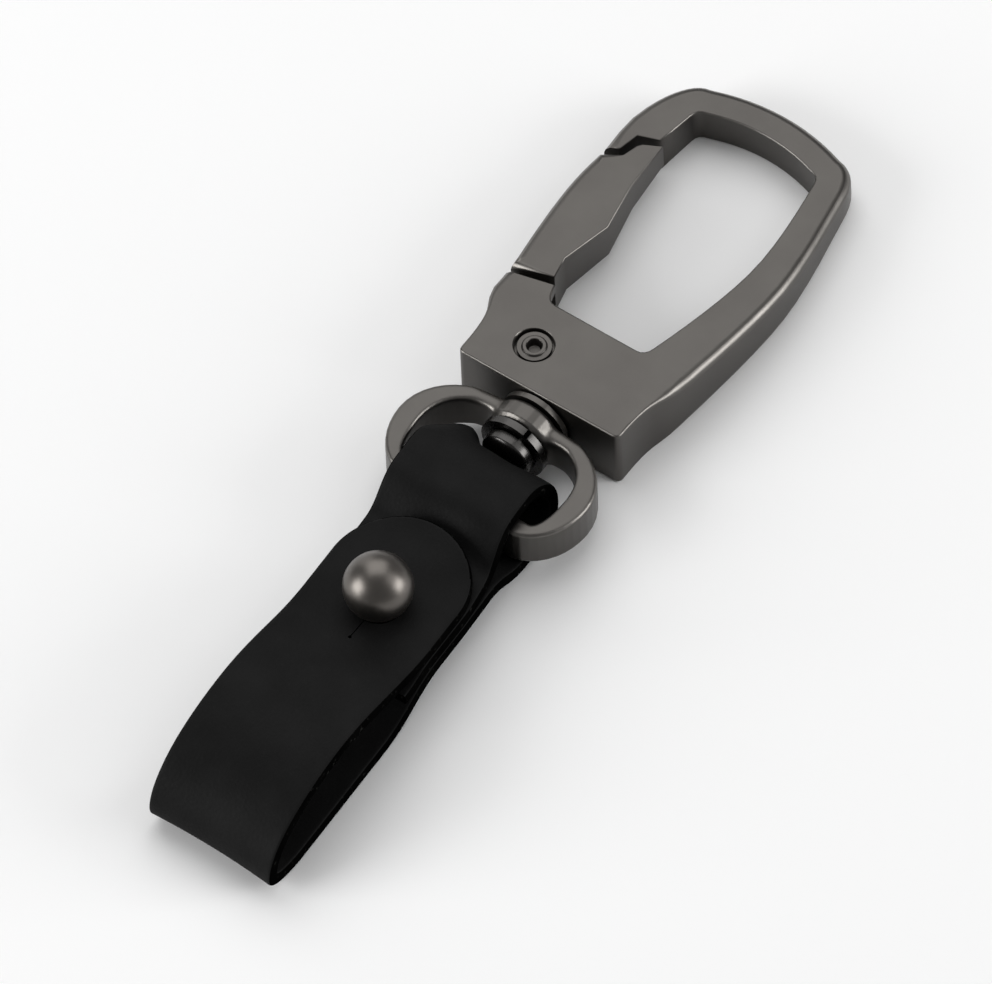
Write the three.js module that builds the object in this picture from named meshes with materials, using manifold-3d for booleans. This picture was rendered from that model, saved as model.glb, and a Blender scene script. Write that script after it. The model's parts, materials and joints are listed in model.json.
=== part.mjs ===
import * as THREE from 'three';
import { mergeVertices } from 'three/addons/utils/BufferGeometryUtils.js';
import Module from 'manifold-3d';

// A strap keychain: a die-cast snap hook with a sprung gate, a ring that swivels on the hook's base,
// and a leather strap that loops round the ring and closes into a belt loop on a ball stud.
// Millimetres and degrees. The keychain lies on a table, with the hook's tip towards +y and +z up.

const wasm = await Module();
wasm.setup();

// Clearances
const fitGap = 0.3;
const layerGap = 0.3;

// Hook, in its own frame: its base end is at y = 0, its tip at +y, and its middle plane is z = 0
const hookLength = 57.6;
const hookBaseWidth = 26;
const hookWaistWidth = 26.6;
const hookWaistAt = 6;
const hookShoulderWidth = 30.4;
const hookShoulderAt = 13.6;
const hookBellyWidth = 34;
const hookBellyAt = 33;
const hookHeadWidth = 29.4;
const hookHeadDepth = 7.6;
const hookCrownWidth = 21;
const hookCrownRise = 1.9;
const hookBaseThickness = 10.6;
const hookTipThickness = 5.4;
const gateSideHeadBulge = 1.2;
const gateSideShoulderBulge = 0.6;
const shoulderBulgeAt = 11.5;
const shoulderBulgeSpan = 4;
const headBulgeDrop = 3.5;
const headBulgeSpan = 8.5;
const hookRimRadius = 1.4;
const hookBaseRimRadius = 0.35;
const hookBaseCornerRadius = 0.9;
const rimSteps = 3;

// Window of the hook
const windowAt = 13.6;
const windowCornerRadius = 1.6;
const windowRimRadius = 0.3;
const armBaseWidth = 7.4;
const armHeadWidth = 4.7;
const armTaper = 1.6;
const headBarDepth = 4.6;

// Gate, its seat in the hook and its tang
const gateRootAt = 14.6;
const gateRootTilt = 14;
const gateRootGap = 1.2;
const gateRootWidth = 6.1;
const gateThumbWidth = 8.5;
const gateThumbAt = 28.3;
const gateTipWidth = 5.8;
const gateNoseGap = 0.9;
const gateRimRadius = 0.25;
const bayRimRadius = 0.2;
const gateRootUnderside = 1;
const gateTipUnderside = 2.2;
const gateOpenAngle = 28;
const lipEndAt = 39.2;
const lipThickness = 1.9;
const lipTilt = 25;
const notchDepth = 4;
const notchTilt = 20;
const tangWidth = 3.6;
const tangThickness = 5.6;
const lugRadius = 2.9;
const slotClearance = 0.5;

// Pivot rivet of the gate and the torsion spring on it
const pivotX = -5.1;
const pivotY = 6.5;
const pivotPinRadius = 1.5;
const rivetHeadRadius = 2.4;
const rivetHeadThickness = 0.6;
const rivetSeatRadius = 2.75;
const rivetSeatDepth = 1.25;
const rivetSeatRim = 0.2;
const rivetLipRadius = 1.6;
const rivetHollowRadius = 1.1;
const rivetHollowDepth = 0.5;
const rivetLipHeight = 0.2;
const springWire = 0.6;
const springTurns = 2.25;
const springPitch = 1.05;
const springLeg = 1.9;

// Swivel: pin, thrust washer, boss of the ring and split washer, all along y
const swivelPinRadius = 2.2;
const swivelPinDepth = 3.7;
const swivelHeadRadius = 3.75;
const swivelHeadLength = 2.3;
const washerRadius = 5;
const thrustWasherThickness = 0.8;
const bossRadius = 5.1;
const bossLength = 3.4;
const bossRounding = 0.6;
const splitWasherThickness = 1.1;
const splitWidth = 0.7;
const splitAngle = 27;

// Ring
const ringWidth = 30.5;
const ringHeight = 6.2;
const ringBand = 3.4;
const ringBarThickness = 2.8;
const ringTopThickness = 2.4;
const ringLength = 17.7;
const ringWaistDrop = 8.9;
const ringFlatWidth = 10;
const ringBarFlatWidth = 16;
const ringWindowFlatWidth = 12;
const ringRounding = 0.55;
const strapSideClearance = 0.7;

// Strap: one length of leather, from its hidden end at the stud, up round the ring and back to the flap
const strapWidth = 20.2;
const strapRingWidth = 18.8;
const strapThickness = 2;
const strapOffset = 0.55;
const strapYaw = 0.75;
const foldSlack = 3.35;
const legDropStart = 0.5;
const legDropLength = 8;
const studAt = 19.8;
const pinchLift = 3.4;
const pinchPastStud = 2.2;
const strapEndPastStud = 9;
const flapPastStud = 13.9;
const flapLift = 1;
const flapLiftLength = 6.5;
const loopReach = 39.8;
const loopHeight = 13.4;
const loopApexHeight = 3.5;
const loopUpperRun = 16.3;
const loopLowerRun = 12.3;
const loopTableRun = 14;
const loopSkew = 0.5;
const flapHingeAngle = 114;
const slitReach = 7;
const slitWidth = 0.6;

// Ball stud and its screw
const ballRadius = 4.8;
const ballStandOff = 3.6;
const studNeckRadius = 2.1;
const studFlangeRadius = 3.6;
const studFlangeThickness = 0.8;
const studBoreLength = 3.2;
const screwRadius = 1.2;
const screwHeadRadius = 3.4;
const screwHeadThickness = 1.2;
const screwSlotWidth = 0.9;
const screwSlotDepth = 0.6;

// Finishes
const gunmetal = { color: 0x6b6764, roughness: 0.38, metalness: 1 };
const darkSteel = { color: 0x4a4846, roughness: 0.3, metalness: 1 };
const springSteel = { color: 0x8a8a88, roughness: 0.35, metalness: 1 };
const leather = { color: 0x1b1b1b, roughness: 0.72, metalness: 0 };

const radians = THREE.MathUtils.degToRad;
const roundSides = 32;
const farAway = 120;

// Solid modelling helpers

function solidOf(geometry) {
  const bare = geometry.clone();
  bare.deleteAttribute('normal');
  bare.deleteAttribute('uv');
  const merged = mergeVertices(bare, 1e-4);
  const vertProperties = new Float32Array(merged.attributes.position.array);
  const triVerts = new Uint32Array(merged.index.array);
  return new wasm.Manifold(new wasm.Mesh({ numProp: 3, vertProperties, triVerts }));
}

function geometryOf(solid) {
  const mesh = solid.getMesh();
  const geometry = new THREE.BufferGeometry();
  geometry.setAttribute('position', new THREE.BufferAttribute(new Float32Array(mesh.vertProperties), 3));
  geometry.setIndex(new THREE.BufferAttribute(new Uint32Array(mesh.triVerts), 1));
  geometry.computeVertexNormals();
  return geometry;
}

function prism(points, low, high) {
  const shape = new THREE.Shape(points);
  const geometry = new THREE.ExtrudeGeometry(shape, { depth: high - low, bevelEnabled: false });
  geometry.translate(0, 0, low);
  return solidOf(geometry);
}

function cylinderAlongZ(radius, low, high, x, y) {
  const geometry = new THREE.CylinderGeometry(radius, radius, high - low, roundSides);
  geometry.rotateX(Math.PI / 2);
  geometry.translate(x, y, (low + high) / 2);
  return solidOf(geometry);
}

function cylinderAlongY(radius, low, high) {
  const geometry = new THREE.CylinderGeometry(radius, radius, high - low, roundSides);
  geometry.translate(0, (low + high) / 2, 0);
  return solidOf(geometry);
}

function sphereAt(radius, center) {
  const geometry = new THREE.SphereGeometry(radius, roundSides, roundSides / 2);
  geometry.rotateX(Math.PI / 2);
  geometry.translate(center.x, center.y, center.z);
  return solidOf(geometry);
}

// A piece turned about y, from a profile of radius and y that starts and ends on the axis or closes
function turned(profile) {
  return new THREE.LatheGeometry(profile, roundSides);
}

function flatRing(innerRadius, outerRadius, low, high) {
  const corners = [
    [innerRadius, low],
    [outerRadius, low],
    [outerRadius, high],
    [innerRadius, high],
    [innerRadius, low],
  ];
  return turned(corners.map(([radius, y]) => new THREE.Vector2(radius, y)));
}

function mirrored(points) {
  return points.map((p) => new THREE.Vector2(-p.x, p.y)).reverse();
}

function alongDegrees(from, degrees, length) {
  const angle = radians(degrees);
  return new THREE.Vector2(from.x + length * Math.cos(angle), from.y + length * Math.sin(angle));
}

function turnedAbout(point, center, degrees) {
  return point.clone().rotateAround(center, radians(degrees));
}

function arc(x, y, runX, runY, from, to) {
  return new THREE.EllipseCurve(x, y, runX, runY, radians(from), radians(to), from > to);
}

// Points along curves that follow one another, without repeats where they meet
function joinedPoints(curves) {
  const points = [];
  for (const curve of curves) {
    for (const point of curve.getPoints(10)) {
      const last = points[points.length - 1];
      if (!last || last.distanceTo(point) > 1e-6) points.push(point);
    }
  }
  return points;
}

// Directions out of an outline that runs anticlockwise, halfway between the edges at each point
function outwardOf(outline) {
  const count = outline.length;
  const edgeOut = outline.map((p, i) => {
    const next = outline[(i + 1) % count];
    return new THREE.Vector2(next.y - p.y, p.x - next.x).normalize();
  });
  return edgeOut.map((out, i) => out.clone().add(edgeOut[(i + count - 1) % count]).normalize());
}

// Levels of a rim from the lower face to the upper face, as shares of the rim's radius
function rimLevels(outsetAt) {
  const levels = [];
  for (const side of [-1, 1]) {
    for (let step = 0; step <= rimSteps; step++) {
      const share = step / rimSteps;
      const angle = radians(90 * (side < 0 ? 1 - share : share));
      levels.push({ side, outset: outsetAt(angle), rise: Math.sin(angle) - 1, beyond: 0 });
    }
  }
  return levels;
}

// A solid between two faces, built level by level from an outline
function leveledPrism(outline, levels, halfHeightAt, radiusAt) {
  const count = outline.length;
  const outward = outwardOf(outline);
  const positions = [];
  for (const { side, outset, rise, beyond } of levels) {
    outline.forEach((p, i) => {
      const radius = radiusAt(p);
      const x = p.x + outward[i].x * outset * radius;
      const y = p.y + outward[i].y * outset * radius;
      positions.push(x, y, side * (halfHeightAt(y, side) + rise * radius + beyond));
    });
  }
  const indices = [];
  for (let level = 0; level + 1 < levels.length; level++) {
    for (let i = 0; i < count; i++) {
      const a = level * count + i;
      const b = level * count + ((i + 1) % count);
      indices.push(a, b, b + count, a, b + count, a + count);
    }
  }
  const top = (levels.length - 1) * count;
  const cap = outline.map((p, i) => new THREE.Vector2(positions[3 * i], positions[3 * i + 1]));
  for (const [a, b, c] of THREE.ShapeUtils.triangulateShape(cap, [])) {
    indices.push(top + a, top + b, top + c, c, b, a);
  }
  const geometry = new THREE.BufferGeometry();
  geometry.setAttribute('position', new THREE.Float32BufferAttribute(positions, 3));
  geometry.setIndex(indices);
  return solidOf(geometry);
}

// A solid whose rims are rounded by a radius that may change along the outline
function roundedPrism(outline, halfHeightAt, rimRadiusAt) {
  const levels = rimLevels((angle) => Math.cos(angle) - 1);
  return leveledPrism(outline, levels, halfHeightAt, rimRadiusAt);
}

// A cut right through a solid that leaves rounded rims on both faces
function roundedCut(outline, halfHeightAt, rimRadius) {
  const levels = rimLevels((angle) => 1 - Math.cos(angle));
  const past = { outset: 1, rise: 0, beyond: rimRadius };
  levels.unshift({ side: -1, ...past });
  levels.push({ side: 1, ...past });
  return leveledPrism(outline, levels, halfHeightAt, () => rimRadius);
}

// Outline of the hook

const hookHeadAt = hookLength - hookHeadDepth;
const crownEndAt = hookLength - hookCrownRise;
const flank = new THREE.SplineCurve([
  new THREE.Vector2(hookBaseWidth / 2, 0),
  new THREE.Vector2(hookWaistWidth / 2, hookWaistAt),
  new THREE.Vector2(hookShoulderWidth / 2, hookShoulderAt),
  new THREE.Vector2(hookBellyWidth / 2, hookBellyAt),
  new THREE.Vector2(hookHeadWidth / 2, hookHeadAt),
]);
const flankSamples = flank.getPoints(200);

// Half width of the hook's outline at a station along it
function flankAt(y) {
  const next = flankSamples.findIndex((p) => p.y >= y);
  if (next < 0) return hookHeadWidth / 2;
  if (next === 0) return hookBaseWidth / 2;
  const a = flankSamples[next - 1];
  const b = flankSamples[next];
  return THREE.MathUtils.mapLinear(y, a.y, b.y, a.x, b.x);
}

function halfThicknessAt(y) {
  return THREE.MathUtils.mapLinear(y, 0, hookLength, hookBaseThickness, hookTipThickness) / 2;
}

function armWidthAt(y) {
  const share = THREE.MathUtils.clamp((hookHeadAt - y) / (hookHeadAt - windowAt), 0, 1);
  return armHeadWidth + (armBaseWidth - armHeadWidth) * share ** armTaper;
}

// Round turn between two edges, from one point to another, bulging towards the corner
function cornerCurve(from, corner, to, steps) {
  return new THREE.QuadraticBezierCurve(from, corner, to).getPoints(steps);
}

// Smooth rise to one at a station, gone beyond the span on either side
function bump(y, at, span) {
  return Math.max(0, 1 - ((y - at) / span) ** 2) ** 2;
}

// The hook's outline is symmetric, but for a fuller shoulder and head on the gate's side
function hookOutline() {
  const headEdge = new THREE.Vector2(hookHeadWidth / 2, hookHeadAt);
  const crownEdge = new THREE.Vector2(hookCrownWidth / 2, crownEndAt);
  const headCorner = new THREE.Vector2(
    hookHeadWidth / 2 - hookHeadDepth / 10,
    crownEndAt - hookCrownRise / 4,
  );
  const crownCorner = new THREE.Vector2(hookCrownWidth / 4, hookLength);
  const crownTop = new THREE.Vector2(0, hookLength);
  const baseEnd = new THREE.Vector2(hookBaseWidth / 2 - hookBaseCornerRadius, 0);
  const baseCorner = new THREE.Vector2(hookBaseWidth / 2, 0);
  const baseSide = new THREE.Vector2(flankAt(hookBaseCornerRadius), hookBaseCornerRadius);
  const right = [
    ...cornerCurve(baseEnd, baseCorner, baseSide, 4),
    ...flank.getPoints(24).filter((p) => p.y > hookBaseCornerRadius * 1.2),
    ...cornerCurve(headEdge, headCorner, crownEdge, 8).slice(1),
    ...cornerCurve(crownEdge, crownCorner, crownTop, 6).slice(1),
  ];
  const left = mirrored(right).slice(1);
  for (const p of left) {
    p.x -= gateSideShoulderBulge * bump(p.y, shoulderBulgeAt, shoulderBulgeSpan);
    p.x -= gateSideHeadBulge * bump(p.y, hookHeadAt - headBulgeDrop, headBulgeSpan);
  }
  return [...right, ...left];
}

function windowOutline() {
  const low = windowAt + windowCornerRadius;
  const high = hookHeadAt;
  const edge = [];
  const edgeSteps = 12;
  for (let step = 0; step <= edgeSteps; step++) {
    const y = THREE.MathUtils.lerp(low, high, step / edgeSteps);
    edge.push(new THREE.Vector2(flankAt(y) - armWidthAt(y), y));
  }
  const floorEnd = new THREE.Vector2(edge[0].x - windowCornerRadius, windowAt);
  const floorCorner = new THREE.Vector2(edge[0].x - windowCornerRadius / 4, windowAt);
  const crownInner = hookLength - headBarDepth;
  const top = edge[edgeSteps];
  const roofEnd = new THREE.Vector2(
    top.x - windowCornerRadius,
    crownEndAt - headBarDepth + hookCrownRise / 4,
  );
  const roofCorner = new THREE.Vector2(top.x - windowCornerRadius / 8, roofEnd.y - windowCornerRadius / 8);
  const roofMiddle = new THREE.Vector2(roofEnd.x / 2, crownInner);
  const roofTop = new THREE.Vector2(0, crownInner);
  const right = [
    ...cornerCurve(floorEnd, floorCorner, edge[0], 4),
    ...edge.slice(1),
    ...cornerCurve(top, roofCorner, roofEnd, 4).slice(1),
    ...cornerCurve(roofEnd, roofMiddle, roofTop, 5).slice(1),
  ];
  return [...right, ...mirrored(right).slice(1)];
}

// Joint lines between hook and gate, on the gate's side at -x

const pivot = new THREE.Vector2(pivotX, pivotY);
const bayReach = 6;
const notchAt = lipEndAt + notchDepth;

const rootOuter = new THREE.Vector2(-flankAt(gateRootAt), gateRootAt);
const lipOuter = new THREE.Vector2(-flankAt(lipEndAt), lipEndAt);
const lipInner = alongDegrees(lipOuter, lipTilt, lipThickness / Math.cos(radians(lipTilt)));
const notchOuter = new THREE.Vector2(lipThickness - flankAt(notchAt), notchAt);

function gateBayOutline() {
  return [
    alongDegrees(rootOuter, gateRootTilt, -bayReach),
    alongDegrees(rootOuter, gateRootTilt, gateThumbWidth + bayReach),
    alongDegrees(notchOuter, notchTilt, gateThumbWidth),
    notchOuter,
    lipInner,
    alongDegrees(lipOuter, lipTilt, -bayReach),
  ];
}

function gateInnerX(y, width) {
  return width - flankAt(y);
}

function gateOutline() {
  const rise = (tilt, run) => run * Math.tan(radians(tilt));
  const dropFor = (tilt) => gateNoseGap / Math.cos(radians(tilt));
  const rootY = gateRootAt + gateRootGap / Math.cos(radians(gateRootTilt));
  const rootInnerY = rootY + rise(gateRootTilt, gateRootWidth);
  const waistY = (rootInnerY + gateThumbAt) / 2 - gateRootWidth / 3;
  const cheekY = (gateThumbAt + notchAt) / 2;
  const cheekWidth = (gateThumbWidth + gateTipWidth) / 2;
  const tipX = gateInnerX(notchAt, gateTipWidth);
  const tipY = notchAt + rise(notchTilt, tipX - notchOuter.x) - dropFor(notchTilt);
  const tongueTop = new THREE.Vector2(notchOuter.x + gateNoseGap, notchAt - dropFor(notchTilt));
  const tongueFoot = new THREE.Vector2(
    lipInner.x + gateNoseGap,
    lipInner.y + rise(lipTilt, gateNoseGap) - dropFor(lipTilt),
  );
  const shoulderY = lipEndAt - dropFor(lipTilt);
  const outer = [];
  const outerSteps = 12;
  for (let step = 0; step <= outerSteps; step++) {
    const y = THREE.MathUtils.lerp(shoulderY, rootY, step / outerSteps);
    outer.push(new THREE.Vector2(-flankAt(y), y));
  }
  return [
    new THREE.Vector2(gateInnerX(rootY, gateRootWidth), rootInnerY),
    new THREE.Vector2(gateInnerX(waistY, gateRootWidth), waistY),
    new THREE.Vector2(gateInnerX(gateThumbAt, gateThumbWidth), gateThumbAt),
    new THREE.Vector2(gateInnerX(cheekY, cheekWidth), cheekY),
    new THREE.Vector2(tipX, tipY),
    alongDegrees(tongueTop, notchTilt, gateRimRadius * 2),
    alongDegrees(tongueTop, -90, gateRimRadius * 2),
    tongueFoot,
    ...outer,
  ];
}

// Middle of the gate's root edge, where the tang leaves the gate
function tangShoulder() {
  const outline = gateOutline();
  return outline[0].clone().add(outline[outline.length - 1]).multiplyScalar(0.5);
}

function tangOutline(halfWidth, radius) {
  const shoulder = tangShoulder();
  const toShoulder = shoulder.clone().sub(pivot).normalize();
  const across = new THREE.Vector2(toShoulder.y, -toShoulder.x);
  const inside = shoulder.clone().addScaledVector(toShoulder, tangWidth / 2);
  const beside = (middle, reach) => middle.clone().addScaledVector(across, reach);
  return {
    right: [beside(pivot, radius), beside(inside, halfWidth)],
    left: [beside(inside, -halfWidth), beside(pivot, -radius)],
  };
}

// Room in the base for the tang, from the gate's rest to its open stop
function tangSlotOutline() {
  const { right, left } = tangOutline(tangWidth / 2 + slotClearance, lugRadius + slotClearance);
  const open = right.map((p) => turnedAbout(p, pivot, -gateOpenAngle));
  return [...open, right[1], ...left];
}

// Thickness levels shared by the tang, the slot, the rivet and the spring

const tangHalf = tangThickness / 2;
const springHalf = (springPitch * springTurns + springWire) / 2;
const pivotHalf = halfThicknessAt(pivotY);
const springRadius = pivotPinRadius + fitGap + springWire / 2;

// Swivel stations along y, from the hook's base to the pin's head

const thrustWasherEnd = -fitGap - thrustWasherThickness;
const bossStart = thrustWasherEnd - fitGap;
const bossEnd = bossStart - bossLength;
const splitWasherEnd = bossEnd - fitGap - splitWasherThickness;
const swivelHeadStart = splitWasherEnd - fitGap;
const swivelBore = swivelPinRadius + fitGap;

// Ring stations, hung on the boss

const ringTop = bossStart - (bossLength - ringTopThickness) / 4;
const ringBottom = ringTop - ringLength;
const ringWaist = ringTop - ringWaistDrop;
const barInner = ringBottom + ringBarThickness;
const barMiddle = ringBottom + ringBarThickness / 2;

// Hook pieces

// Sunk seat of the rivet's head, with its rim chamfered
function rivetSeat(side) {
  const floor = pivotHalf - rivetSeatDepth;
  const profile = [
    [0, floor],
    [rivetSeatRadius, floor],
    [rivetSeatRadius, pivotHalf - rivetSeatRim],
    [rivetSeatRadius + rivetSeatRim, pivotHalf],
    [rivetSeatRadius + rivetSeatRim, pivotHalf + rivetSeatDepth],
    [0, pivotHalf + rivetSeatDepth],
  ];
  const geometry = turned(profile.map(([radius, height]) => new THREE.Vector2(radius, height)));
  geometry.rotateX((side * Math.PI) / 2);
  geometry.translate(pivotX, pivotY, 0);
  return solidOf(geometry);
}

function hookBody() {
  const rimRadiusAt = (p) => {
    const share = THREE.MathUtils.smoothstep(p.y, hookWaistAt, hookShoulderAt);
    return THREE.MathUtils.lerp(hookBaseRimRadius, hookRimRadius, share);
  };
  const slotHalf = tangHalf + fitGap;
  const cuts = [
    roundedCut(windowOutline(), halfThicknessAt, windowRimRadius),
    roundedCut(gateBayOutline(), halfThicknessAt, bayRimRadius),
    prism(tangSlotOutline(), -slotHalf, slotHalf),
    cylinderAlongZ(lugRadius + slotClearance, -slotHalf, slotHalf, pivotX, pivotY),
    cylinderAlongZ(pivotPinRadius + fitGap, -farAway, farAway, pivotX, pivotY),
    rivetSeat(1),
    rivetSeat(-1),
    cylinderAlongY(swivelBore, -fitGap, swivelPinDepth + fitGap),
  ];
  let solid = roundedPrism(hookOutline(), halfThicknessAt, rimRadiusAt);
  for (const cut of cuts) solid = solid.subtract(cut);
  return geometryOf(solid);
}

function gate() {
  const onFlank = (p) => Math.abs(p.x + flankAt(p.y)) < 1e-6;
  const rimRadiusAt = (p) => (onFlank(p) ? hookRimRadius : gateRimRadius);
  const { right, left } = tangOutline(tangWidth / 2, lugRadius);
  const pocketHalf = springHalf + fitGap;
  const undersideAt = (y) => {
    const share = THREE.MathUtils.clamp((y - gateRootAt) / (notchAt - gateRootAt), 0, 1);
    return THREE.MathUtils.lerp(gateRootUnderside, gateTipUnderside, share);
  };
  const halfHeightAt = (y, side) => halfThicknessAt(y) - (side < 0 ? undersideAt(y) : 0);
  const leaf = roundedPrism(gateOutline(), halfHeightAt, rimRadiusAt);
  const tang = prism([...right, ...left], -tangHalf, tangHalf);
  const lug = cylinderAlongZ(lugRadius, -tangHalf, tangHalf, pivotX, pivotY);
  const pocketRadius = lugRadius + slotClearance;
  const pocket = cylinderAlongZ(pocketRadius, -pocketHalf, pocketHalf, pivotX, pivotY);
  const bore = cylinderAlongZ(pivotPinRadius + fitGap, -farAway, farAway, pivotX, pivotY);
  return geometryOf(leaf.add(tang).add(lug).subtract(pocket).subtract(bore));
}

function gatePivotPin() {
  const headTop = pivotHalf - rivetSeatDepth + fitGap + rivetHeadThickness;
  const lipTop = headTop + rivetLipHeight;
  const upper = [
    [pivotPinRadius, headTop - rivetHeadThickness],
    [rivetHeadRadius, headTop - rivetHeadThickness],
    [rivetHeadRadius, headTop],
    [rivetLipRadius, headTop],
    [rivetLipRadius, lipTop],
    [rivetHollowRadius, lipTop],
    [rivetHollowRadius, headTop - rivetHollowDepth],
    [0, headTop - rivetHollowDepth],
  ];
  const lower = upper.map(([radius, z]) => [radius, -z]).reverse();
  const geometry = turned([...lower, ...upper].map(([radius, z]) => new THREE.Vector2(radius, z)));
  geometry.rotateX(Math.PI / 2);
  geometry.translate(pivotX, pivotY, 0);
  return geometry;
}

// Torsion spring: a coil round the rivet with one leg on the base and one on the tang
function gateSpring() {
  const shoulder = tangShoulder();
  const lastAngle = Math.atan2(shoulder.y - pivotY, shoulder.x - pivotX) - Math.PI / 2;
  const firstAngle = lastAngle - springTurns * 2 * Math.PI;
  const steps = Math.round(springTurns * 8);
  const at = (angle, z) => new THREE.Vector3(
    pivotX + springRadius * Math.cos(angle),
    pivotY + springRadius * Math.sin(angle),
    z,
  );
  const legEnd = (angle, z, length) => at(angle, z).add(
    new THREE.Vector3(-Math.sin(angle), Math.cos(angle), 0).multiplyScalar(length),
  );
  const half = (springPitch * springTurns) / 2;
  const route = [legEnd(firstAngle, -half, -springLeg), legEnd(firstAngle, -half, -springLeg / 2)];
  for (let step = 0; step <= steps; step++) {
    const share = step / steps;
    const angle = THREE.MathUtils.lerp(firstAngle, lastAngle, share);
    route.push(at(angle, THREE.MathUtils.lerp(-half, half, share)));
  }
  route.push(legEnd(lastAngle, half, springLeg / 2), legEnd(lastAngle, half, springLeg));
  const section = new THREE.Shape().absarc(0, 0, springWire / 2, 0, 2 * Math.PI);
  const extrudePath = new THREE.CatmullRomCurve3(route);
  return new THREE.ExtrudeGeometry(section, { steps: 2 * route.length, curveSegments: 3, extrudePath });
}

// Swivel pieces

function swivelPin() {
  const dome = new THREE.EllipseCurve(
    0, swivelHeadStart - swivelHeadLength / 2, swivelHeadRadius, swivelHeadLength / 2, -Math.PI / 2, 0,
  );
  const profile = [
    ...dome.getPoints(6),
    new THREE.Vector2(swivelHeadRadius, swivelHeadStart),
    new THREE.Vector2(swivelPinRadius, swivelHeadStart),
    new THREE.Vector2(swivelPinRadius, swivelPinDepth),
    new THREE.Vector2(0, swivelPinDepth),
  ];
  profile[0].x = 0;
  return turned(profile);
}

function thrustWasher() {
  return flatRing(swivelBore, washerRadius, thrustWasherEnd, -fitGap);
}

function splitWasher() {
  const ring = flatRing(swivelBore, washerRadius, splitWasherEnd, bossEnd - fitGap);
  const slit = new THREE.BoxGeometry(splitWidth, farAway, washerRadius * 2);
  slit.translate(0, 0, washerRadius);
  slit.rotateY(radians(splitAngle));
  return geometryOf(solidOf(ring).subtract(solidOf(slit)));
}

function ringOutline() {
  const half = ringWidth / 2;
  const barFlat = ringBarFlatWidth / 2;
  const topFlat = ringFlatWidth / 2;
  const right = joinedPoints([
    arc(barFlat, ringWaist, half - barFlat, ringWaist - ringBottom, -90, 0),
    arc(topFlat, ringWaist, half - topFlat, ringTop - ringWaist, 0, 90),
  ]);
  return [...right, ...mirrored(right)];
}

// The ring's window is straight along the bar, where the strap goes round it
function ringWindow() {
  const barHalf = strapRingWidth / 2 + strapSideClearance;
  const waistHalf = ringWidth / 2 - ringBand;
  const flatHalf = ringWindowFlatWidth / 2;
  const roof = ringTop - ringTopThickness;
  const right = joinedPoints([
    arc(barHalf, ringWaist, waistHalf - barHalf, ringWaist - barInner, -90, 0),
    arc(flatHalf, ringWaist, waistHalf - flatHalf, roof - ringWaist, 0, 90),
  ]);
  return [...right, ...mirrored(right)];
}

function swivelRing() {
  const shape = new THREE.Shape(ringOutline());
  shape.holes.push(new THREE.Path(ringWindow()));
  const band = new THREE.ExtrudeGeometry(shape, {
    depth: ringHeight - 2 * ringRounding,
    bevelThickness: ringRounding,
    bevelSize: ringRounding,
    bevelOffset: -ringRounding,
    bevelSegments: 3,
  });
  band.translate(0, 0, ringRounding - ringHeight / 2);
  const boss = turned([
    new THREE.Vector2(0, bossEnd),
    new THREE.Vector2(bossRadius - bossRounding, bossEnd),
    new THREE.Vector2(bossRadius, bossEnd + bossRounding),
    new THREE.Vector2(bossRadius, bossStart - bossRounding),
    new THREE.Vector2(bossRadius - bossRounding, bossStart),
    new THREE.Vector2(0, bossStart),
  ]);
  const bore = cylinderAlongY(swivelBore, bossEnd - fitGap, bossStart + fitGap);
  return geometryOf(solidOf(band).add(solidOf(boss)).subtract(bore));
}

// Where the hook lies: its lower face flat on the table, so the ring's bar stands higher than its base

const wedgeAngle = Math.atan((hookBaseThickness - hookTipThickness) / 2 / hookLength);
const hookLift = (hookBaseThickness / 2) * Math.cos(wedgeAngle);
const barY = barMiddle * Math.cos(wedgeAngle);
const barZ = hookLift - barMiddle * Math.sin(wedgeAngle);

// Strap levels and stations: y is measured from the ring's bar, z from the table

const halfLeather = strapThickness / 2;
const layerStep = strapThickness + layerGap;
const backMiddle = pinchLift + halfLeather;
const frontMiddle = backMiddle + layerStep;
const flapMiddle = frontMiddle + layerStep;
const flapTop = flapMiddle + halfLeather;
const barReach = ringRounding
  + Math.hypot(ringBarThickness / 2 - ringRounding, ringHeight / 2 - ringRounding);
const foldRadius = barReach + fitGap + halfLeather;
const legTop = barZ + foldRadius;
const legBottom = barZ - foldRadius;
const studY = -studAt;
const pinchStart = -legDropStart - legDropLength;
const pinchEnd = studY - pinchPastStud;
const loopApexY = studY - loopReach;
const lowerCenterY = loopApexY + loopLowerRun;
const upperCenterY = loopApexY + loopUpperRun;
const tableStart = pinchEnd - loopTableRun;
const flapEndY = studY + flapPastStud;
const ballCenter = new THREE.Vector3(0, studY, flapTop + ballStandOff);

function line(y0, z0, y1, z1) {
  return new THREE.LineCurve(new THREE.Vector2(y0, z0), new THREE.Vector2(y1, z1));
}

// Ease from one level to another, level at both ends
function ease(y0, z0, y1, z1, pull) {
  const a = new THREE.Vector2(y0, z0);
  const b = new THREE.Vector2(THREE.MathUtils.lerp(y0, y1, pull), z0);
  const c = new THREE.Vector2(THREE.MathUtils.lerp(y1, y0, pull), z1);
  const d = new THREE.Vector2(y1, z1);
  return new THREE.CubicBezierCurve(a, b, c, d);
}

const loopLowerRise = loopApexHeight - halfLeather;
const loopUpperRise = loopHeight - halfLeather - loopApexHeight;
const hingeSweep = Math.hypot(
  loopUpperRun * Math.sin(radians(flapHingeAngle)),
  loopUpperRise * Math.cos(radians(flapHingeAngle)),
);
const hingeGapAngle = THREE.MathUtils.radToDeg(fitGap / 2 / hingeSweep);

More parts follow.
